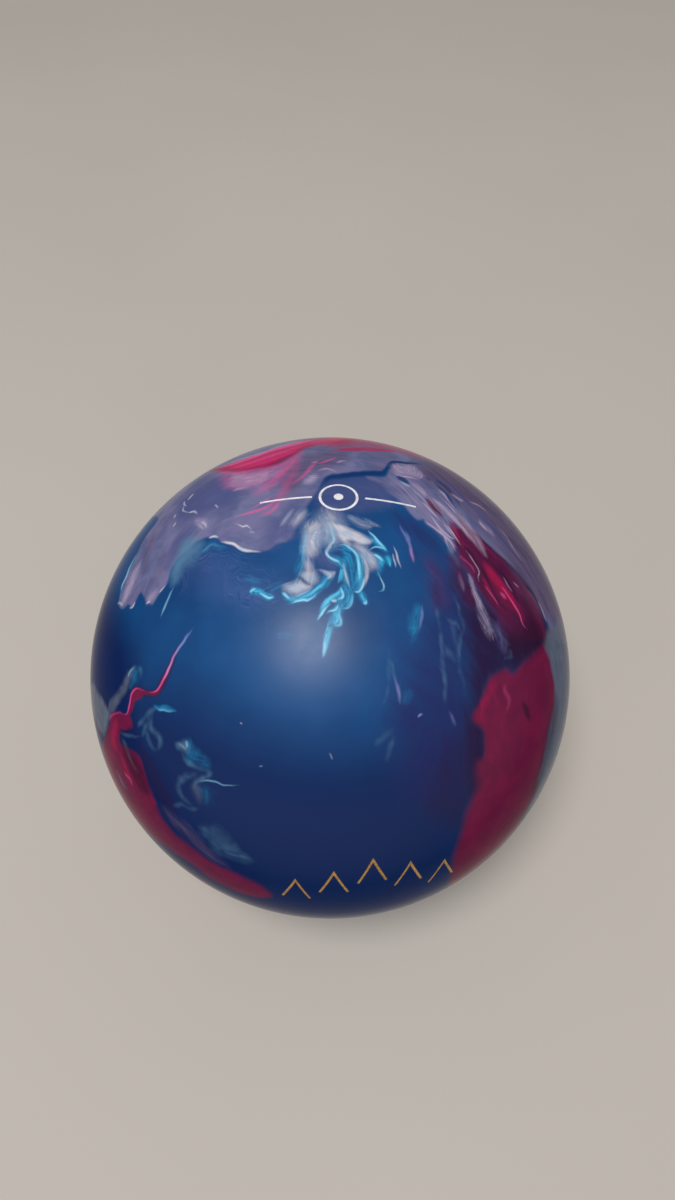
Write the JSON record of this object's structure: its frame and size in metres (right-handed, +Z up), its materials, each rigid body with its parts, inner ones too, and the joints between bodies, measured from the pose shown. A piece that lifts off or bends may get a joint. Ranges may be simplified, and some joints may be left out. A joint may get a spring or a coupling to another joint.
{
  "type": "bowling ball",
  "caption": "Undrilled tenpin bowling ball: a marbled resin coverstock cast over a filler sphere, a turned weight block with its flip block, and a locator pin that shows at the surface.",
  "frame": {"origin": "centre of the ball", "axes": "+Z up as the ball lies in the picture, -Y towards the viewer, +X to the viewer's right"},
  "size_m": [0.2172, 0.2172, 0.2172],
  "materials": {
    "coverstock": "satin marbled resin",
    "filler_core": "cast filler, matte",
    "weight_block": "mineral-filled resin, matte",
    "flip_block": "denser mineral-filled resin, matte",
    "locator_pin": "satin resin",
    "gold_paint": "metallic paint fill",
    "white_paint": "matte paint fill"
  },
  "bodies": {
    "root": {"coverstock": "coverstock", "filler_core": "filler_core", "weight_block": "weight_block", "flip_block": "flip_block", "locator_pin": "locator_pin", "lane_arrow_fill_1": "gold_paint", "lane_arrow_fill_2": "gold_paint", "lane_arrow_fill_3": "gold_paint", "lane_arrow_fill_4": "gold_paint", "lane_arrow_fill_5": "gold_paint", "balance_ring_fill": "white_paint", "balance_dot_fill": "white_paint", "sight_line_fill_left": "white_paint", "sight_line_fill_right": "white_paint"}
  },
  "joints": []
}
